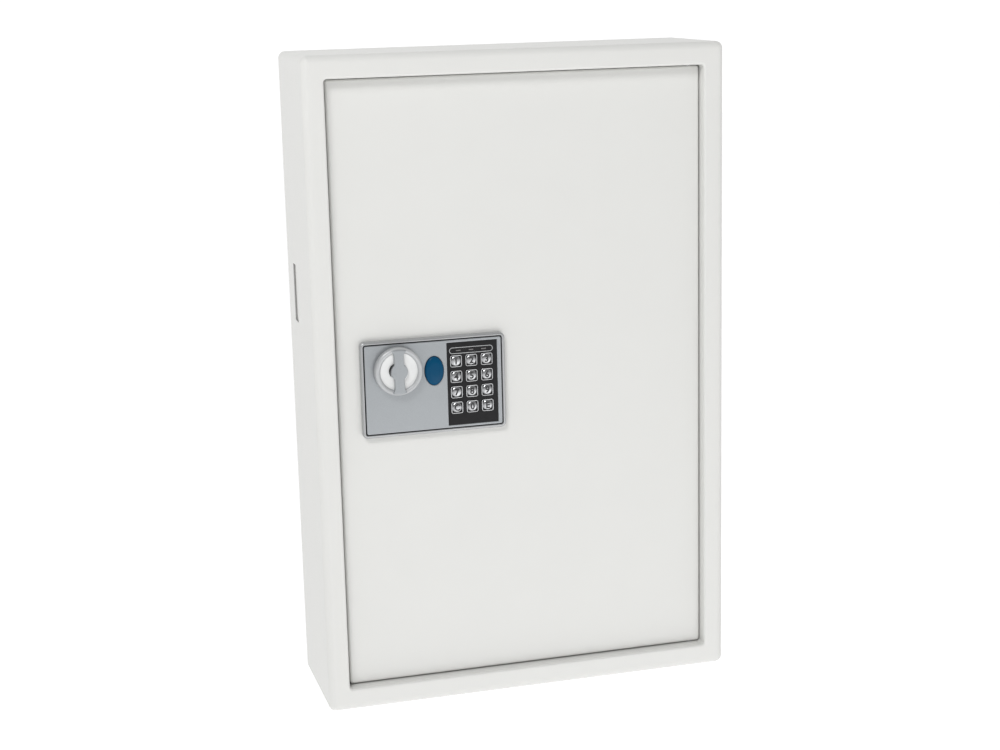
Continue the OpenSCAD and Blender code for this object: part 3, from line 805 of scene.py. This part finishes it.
def make_bezel(mat):
    """Outer frame with a full, round top edge, on a black base that shows in the groove as painted shade of
    the groove's depth.
    """
    cx, cz, w, h = panel_frame()
    face = door_face()

    def ring(inset, r, u):
        return at_depth(round_rect(w - 2 * inset, h - 2 * inset, r, cx, cz), face - u)

    crown = 1.5
    rings = [ring(BEZEL_EDGE, 2.0, 0.0), ring(0.1, PANEL_R, 0.0), ring(0.0, PANEL_R, 0.15)]
    rings += [ring(a, PANEL_R - a, PANEL_T - b) for a, b in arc(crown, 7)]
    lip = 0.35
    inner = BEZEL_EDGE - lip
    for turn in (0, 30, 60, 90):
        along = lip * math.sin(math.radians(turn))
        drop = lip * (1 - math.cos(math.radians(turn)))
        rings.append(ring(inner + along, 2.0 + lip - along, PANEL_T - drop))
    rings.append(ring(BEZEL_EDGE, 2.0, BASE_T - 0.4))
    band = loft(rings, closed=True)
    kx = insert_box()[0]
    knob_x, knob_z = knob_axis()
    cap_x, cap_z, _, _ = cap_axis()
    keys = key_field()
    holes = [oval(12.1, 12.1, knob_x, knob_z), oval(11.2, 11.2, cap_x, cap_z), keys]
    inner_outline = round_rect(w - 2 * BEZEL_EDGE + 0.1, h - 2 * BEZEL_EDGE + 0.1, 2.0, cx, cz)
    # The black base seen in the groove between frame and front is painted shade of the groove.
    base = plate([inner_outline, *holes], face, BASE_T, 0.05, 1)
    well = plate([round_rect(42, 62, 1.0, kx, (keys[0][1] + keys[-1][1]) / 2, 3)], face, 0.6, 0.05, 1)
    piece("lock_frame", [(band, mat["bezel"]), (base, mat["groove"]), (well, mat["groove"])], "door",
          ["lock_bezel"])


def key_field():
    """Outline of the well behind the keys."""
    boxes = [node_box(n) for n in KEY_NODES]
    x0 = min(b[0][0] for b in boxes) - 0.8
    x1 = max(b[1][0] for b in boxes) + 0.8
    z0 = min(b[0][2] for b in boxes) - 2.0
    z1 = node_box("led_lenses")[1][2] + 2.5
    return round_rect(x1 - x0, z1 - z0, 0.5, (x0 + x1) / 2, (z0 + z1) / 2, 3)


def make_fascia(mat):
    """Silver front with soft edges round the insert, the knob and the oval cap."""
    cx, cz, w, h = panel_frame()
    face = door_face()
    inset = BEZEL_EDGE + GROOVE
    kx, kz, kw, kh = insert_box()
    knob_x, knob_z = knob_axis()
    cap_x, cap_z, cap_w, cap_h = cap_axis()
    outlines = [
        round_rect(w - 2 * inset, h - 2 * inset, 1.5, cx, cz),
        round_rect(kw + 0.4, kh + 0.4, 0.5, kx, kz, 4),
        oval(12.8, 12.8, knob_x, knob_z),
        oval(cap_w + 0.6, cap_h + 0.6, cap_x, cap_z),
    ]
    front = plate(outlines, face - BASE_T, PANEL_T - BASE_T, 0.4, 3)
    piece("lock_front", [(front, mat["silver"])], "door", ["lock_fascia"])


KEY_NODES = [f"key_{n}" for n in range(1, 10)] + ["key_clear", "key_0", "key_enter"]
KEY_LEGENDS = ["1", "2", "3", "4", "5", "6", "7", "8", "9", "C", "0", "E"]


def make_keypad(mat):
    """Black insert with the key windows and a raised light line round three lamps."""
    face = door_face()
    kx, kz, kw, kh = insert_box()
    windows = []
    for node in KEY_NODES:
        low, high = node_box(node)
        windows.append(round_rect(10.8, 10.8, 1.8, (low[0] + high[0]) / 2, (low[2] + high[2]) / 2, 4))
    led_low, led_high = node_box("led_lenses")
    led_z = (led_low[2] + led_high[2]) / 2
    led_mid = (led_low[0] + led_high[0]) / 2
    led_pitch = (led_high[0] - led_low[0] - 5.0) / 2
    lamps = [round_rect(5.0, 1.8, 0.88, led_mid + k * led_pitch, led_z, 5) for k in (-1, 0, 1)]
    insert = plate([round_rect(kw, kh, 0.4, kx, kz, 3), *windows, *lamps], face - BASE_T, 1.5, 0.15, 1)
    top = face - BASE_T - 1.5
    lozenge_w, lozenge_h, line = 37.6, 5.4, 0.5
    lozenge = plate([
        round_rect(lozenge_w, lozenge_h, lozenge_h / 2, led_mid, led_z, 10),
        round_rect(lozenge_w - 2 * line, lozenge_h - 2 * line, lozenge_h / 2 - line, led_mid, led_z, 10),
    ], top + 0.05, 0.22, 0.06, 1)
    piece("keypad_insert", [(insert, mat["black"]), (lozenge, mat["light_ink"])], "door",
          ["keypad_plate"])
    lenses = []
    for k in (-1, 0, 1):
        x = led_mid + k * led_pitch
        holder = plate([round_rect(4.9, 1.7, 0.8, x, led_z, 5)], face - 2.5, 2.3, 0.2, 2)
        window = plate([round_rect(4.3, 1.0, 0.5, x, led_z, 5)], face - 4.5, 0.4, 0.15, 2)
        lenses += [(holder, mat["black"]), (window, mat["lens"])]
    piece("lamp_lenses", lenses, "door", ["led_lenses"])


def make_keys(mat):
    """Each key is a black cap with a chrome square, four dark corner pockets and a shallow bright disc."""
    face = door_face()
    size = 10.2
    rail = 0.78
    hole = size - 2 * rail
    ring = plate([round_rect(size, size, 1.8, steps=5), round_rect(hole, hole, 0.75, steps=5)],
                 face - KEY_FACE + 0.9, 1.55, 0.24, 3)
    cap = plate([round_rect(size - 0.3, size - 0.3, 1.6, steps=4)], face - KEY_FACE + 2.0, 1.75, 0.1, 1)
    disc_r = 4.3
    top = face - KEY_FACE - 0.85
    profile = [(0.0, top + 0.02), (1.0, top + 0.04), (2.0, top + 0.11), (2.8, top + 0.21), (3.4, top + 0.34),
               (3.9, top + 0.56), (disc_r, top + 0.95), (disc_r, top + 1.7), (0.0, top + 1.7)]
    disc = lathe(profile, steps=40)
    for node, legend in zip(KEY_NODES, KEY_LEGENDS):
        low, high = node_box(node)
        x, z = (low[0] + high[0]) / 2, (low[2] + high[2]) / 2
        flange = block([x - 5.9, high[1] - 0.6, z - 5.9], [x + 5.9, high[1], z + 5.9], 0.1, 1)
        stem = block([x - 4.9, face - KEY_FACE + 1.0, z - 4.9], [x + 4.9, high[1] - 0.3, z + 4.9], 0.1, 1)
        mark = moved(text(legend, 5.4, 0.5, 0.24), x, top + 0.42, z)
        parts = [(flange, mat["groove"]), (stem, mat["groove"]), (moved(cap, x, 0, z), mat["groove"]),
                 (moved(ring, x, 0, z), mat["chrome"]), (moved(disc, x, 0, z), mat["satin"]),
                 (mark, mat["legend"])]
        piece(f"{node}_cap", parts, node, [node])


def make_knob(mat):
    """Turn knob: a round rim, a bright dish, and a grip bar that swells into a hub."""
    x, z = knob_axis()
    face = door_face()
    seat = face - PANEL_T - 0.3
    r = 20.2
    rim = 2.5
    top = seat - 6.6
    outer = [(0.0, seat), (r - 0.5, seat), (r, seat - 0.4), (r, top + 1.9)]
    outer += [(r - 2.0 + 2.0 * math.cos(math.radians(t)), top + 2.0 - 2.0 * math.sin(math.radians(t)))
              for t in range(15, 91, 15)]
    outer += [(r - rim - 0.6, top + 0.12), (r - rim - 1.2, top + 0.55), (r - rim - 1.5, top + 1.2)]
    dish_edge = r - rim - 1.9
    body = lathe(outer + [(dish_edge, top + 1.6), (0.0, top + 1.6)], x, z, 96)
    floor = top + 1.9
    dish = [(dish_edge - 0.1, floor - 0.3)]
    dish += [(dish_edge * k, floor + 0.5 * (1 - k)) for k in (0.96, 0.85, 0.7, 0.5, 0.3, 0.0)]
    cutter = lathe([(0.0, top - 1)] + [(dish_edge, top - 1)] + dish, x, z, 96)
    bowl = cut_second_material(body, cutter)
    grip = plate([grip_outline(x, z, r - 1.4)], seat - 1.2, 6.4, 0.7, 4)
    # Dark crescent in the dish left of the hub: painted shade.
    shade_crescent = hub_shade_crescent(x, z, floor - 1.1)
    shaft = lathe([(0.0, seat), (6.0, seat - 0.5), (6.0, face + 2.0), (0.0, face + 2.0)], x, z, 48)
    parts = [(bowl, [mat["rim"], mat["dish"]]), (grip, mat["silver"]), (shade_crescent, mat["groove"]),
             (shaft, mat["silver"])]
    piece("turn_knob", parts, "knob_set", ["knob"])


def grip_outline(x, z, r):
    """A vertical bar that swells to a round hub in the middle, with hollow shoulders at both ends."""
    bar = 4.15
    hub = 7.2
    points = []
    steps = 96
    for i in range(steps):
        a = 2 * math.pi * i / steps
        side = 1 if math.cos(a) >= 0 else -1
        height = r * math.sin(a)
        t = abs(height)
        wide = math.sqrt(max(hub * hub - t * t, 0.0)) if t < hub else 0.0
        flare = 3.2 * max(0.0, (t - 12.5) / (r - 12.5)) ** 2
        half = max(bar + flare, wide)
        limit = math.sqrt(max(r * r - height * height, 0.0))
        points.append((x + side * min(half, limit), z + height))
    return points


def hub_shade_crescent(x, z, y):
    """A narrow dark crescent beside the hub, painted shade of the gap at the hub's side."""
    inner, widest = 7.6, 0.62
    first, sweep, steps = 118, 92, 28
    outline = []
    for i in range(steps + 1):
        a = math.radians(first + sweep * i / steps)
        r = inner + 0.12 + widest * math.sin(math.pi * i / steps) ** 0.8
        outline.append((x + r * math.cos(a), z + r * math.sin(a)))
    for i in range(steps, -1, -1):
        a = math.radians(first + sweep * i / steps)
        outline.append((x + inner * math.cos(a), z + inner * math.sin(a)))
    return plate([outline], y + 1.4, 1.4, 0.03, 1)


def make_override_cap(mat):
    """Domed oval cap over the override cylinder."""
    x, z, w, h = cap_axis()
    face = door_face()
    base = face - BASE_T - 0.3
    rim = face - PANEL_T - 0.5
    dome = 2.1
    steps = 10
    profile = [(0.86, base), (1.0, base), (1.0, rim)]
    for i in range(1, steps + 1):
        a = math.radians(90 * i / steps)
        profile.append((math.cos(a) ** 0.55 if i < steps else 0.0, rim - dome * math.sin(a) ** 0.9))
    inside = [(0.0, rim - dome + 1.6), (0.6, rim - dome + 1.9), (0.84, rim + 0.6)]
    cap = lathe([*inside, *profile], x, z, 72, (w / 2, h / 2))
    piece("oval_cap", [(cap, mat["blue"])], "override_cap", ["override_cap"])


# ---- Lock mechanism ----


def make_batteries():
    """Four plain AA cells with a copper-coloured top band."""
    low, high = node_box("batteries")
    r = (high[1] - low[1]) / 2
    y = (low[1] + high[1]) / 2
    nub = 1.2
    shoulder = high[2] - nub
    copper, rim = (0.50, 0.26, 0.09), (0.6, 0.6, 0.62)
    wrap = surface("battery_wrap", (0.02, 0.02, 0.022), 0.3, tone=0.1, tone_size=6, peel=0.01,
                   peel_size=1.0, pattern=bands([(shoulder - 15, copper), (shoulder - 0.8, rim)]), coat=0.4)
    profile = [(0.0, low[2]), (r - 1.0, low[2]), (r - 0.2, low[2] + 0.3), (r, low[2] + 0.8),
               (r, shoulder - 0.8), (r - 0.3, shoulder - 0.2), (r - 1.0, shoulder), (2.8, shoulder),
               (2.7, high[2] - 0.3), (2.3, high[2]), (0.0, high[2])]
    cell = lathe(profile, steps=48)
    cell.transform(Matrix.Rotation(math.pi / 2, 4, "X"))
    count = 4
    pitch = (high[0] - low[0] - 2 * r) / (count - 1)
    parts = [(moved(cell, low[0] + r + k * pitch, y, 0), wrap) for k in range(count)]
    piece("aa_cells", parts, "door", ["batteries"])


def make_battery_cover(mat):
    """Sliding cover with a row of grip ridges."""
    low, high = node_box("battery_cover")
    h = high[2] - low[2]
    z = (low[2] + high[2]) / 2
    cover = block(low, high, 0.6, 3)
    ridges = []
    for k in range(6):
        x = low[0] + 8 + 2.6 * k
        ridge = block([x, high[1] - 0.3, z - h * 0.22], [x + 1.2, high[1] + 0.6, z + h * 0.22], 0.35, 2)
        ridges.append((ridge, mat["grain"]))
    piece("battery_lid", [(cover, mat["grain"]), *ridges], "battery_cover",
          ["battery_cover"])


def dress_cad(mat):
    """Materials and soft edges for the CAD nodes that are shown as they are."""
    for node in ("back_panel", "door_stiffener"):
        dress(node, mat["powder"], 0.4)
    for node in ("flap_bracket", "hinge_brackets", "door_stop_clips", "rail_uprights", "hinge_blocks",
                 "battery_contacts", "override_nut", "drive_cam", "knob_screw", "bolt_bar", "override_cam"):
        dress(node, mat["zinc"], 0.25)
    for node in ("hinge_pins", "override_barrel", "solenoid_plunger"):
        dress(node, mat["steel"], 0.3)
    dress("override_plug", mat["brass"], 0.15)
    dress("door_bumpers", mat["rubber"], 0.4)
    dress("keypad_mat", mat["rubber"], 0.1)
    dress("ribbon_cable", mat["cable"], 0.1)
    dress("circuit_board", mat["board"], 0.15)
    dress("lock_housing", mat["grain"], 0.5)
    dress("solenoid", mat["coil"], 0.5)
    dress("lock_fasteners", mat["zinc"], 0.2)


# ---- Build ----

make_camera()
make_world()
make_lights()
make_floor()
bpy.context.scene.view_settings.view_transform = "Standard"

materials = make_materials()
make_shell(materials)
make_flap(materials)
make_rails(materials)
make_number_strips(materials)
make_rail_screws(materials)
make_door(materials)
make_bolts(materials)
make_bezel(materials)
make_fascia(materials)
make_keypad(materials)
make_keys(materials)
make_knob(materials)
make_override_cap(materials)
make_batteries()
make_battery_cover(materials)
dress_cad(materials)
